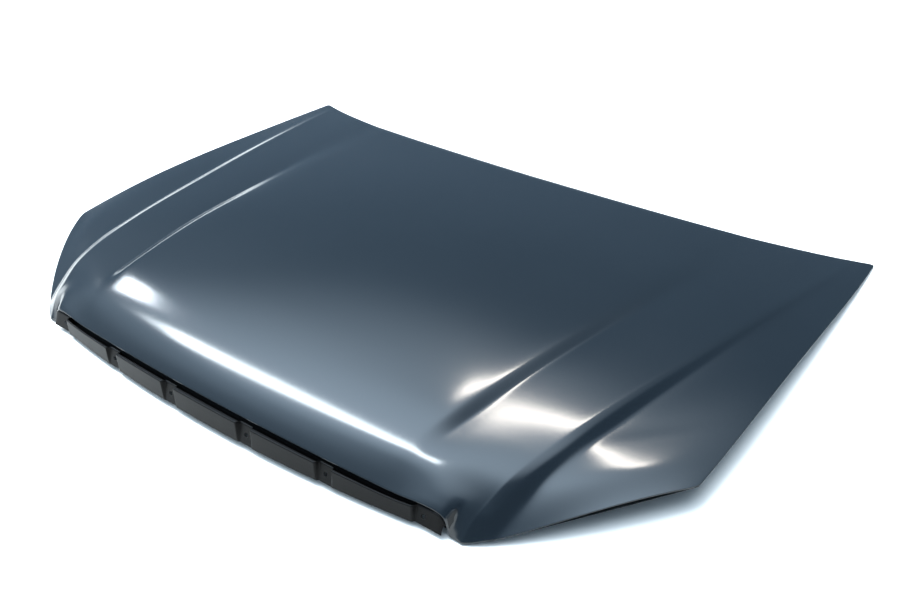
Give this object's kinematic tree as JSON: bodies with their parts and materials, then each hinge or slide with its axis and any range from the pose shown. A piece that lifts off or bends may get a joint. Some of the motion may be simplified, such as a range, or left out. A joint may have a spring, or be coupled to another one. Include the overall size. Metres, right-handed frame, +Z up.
{
  "type": "car bonnet",
  "caption": "Pressed steel car bonnet: domed outer skin with two creases and ridges, hemmed over a ribbed inner frame, with a grille rail, hinge plates and a striker.",
  "frame": {"origin": "bottom centre of the whole part's box, on the floor that it lies on", "axes": "+X across the car, towards the right of the picture, +Y rearwards to the windscreen edge, +Z up out of the outer skin"},
  "size_m": [1.5002, 1.146, 0.1195],
  "materials": {
    "skin": "satin dark slate primer, smooth",
    "inner": "satin near-black primer",
    "zinc": "zinc-plated steel, dull",
    "mastic": "matt cured mastic"
  },
  "bodies": {
    "root": {"outer_skin": "skin", "inner_frame": "inner", "grille_rail": "inner", "hinge_nut_left_1": "zinc", "hinge_nut_left_2": "zinc", "hinge_nut_right_1": "zinc", "hinge_nut_right_2": "zinc", "hinge_plate_left": "inner", "hinge_plate_right": "inner", "latch_plate": "inner", "mastic_left_1": "mastic", "mastic_left_2": "mastic", "mastic_left_3": "mastic", "mastic_left_4": "mastic", "mastic_left_5": "mastic", "mastic_left_6": "mastic", "mastic_right_1": "mastic", "mastic_right_2": "mastic", "mastic_right_3": "mastic", "mastic_right_4": "mastic", "mastic_right_5": "mastic", "mastic_right_6": "mastic", "striker_bolt_left": "zinc", "striker_bolt_right": "zinc", "striker_loop": "zinc", "striker_plate": "zinc"}
  },
  "joints": []
}
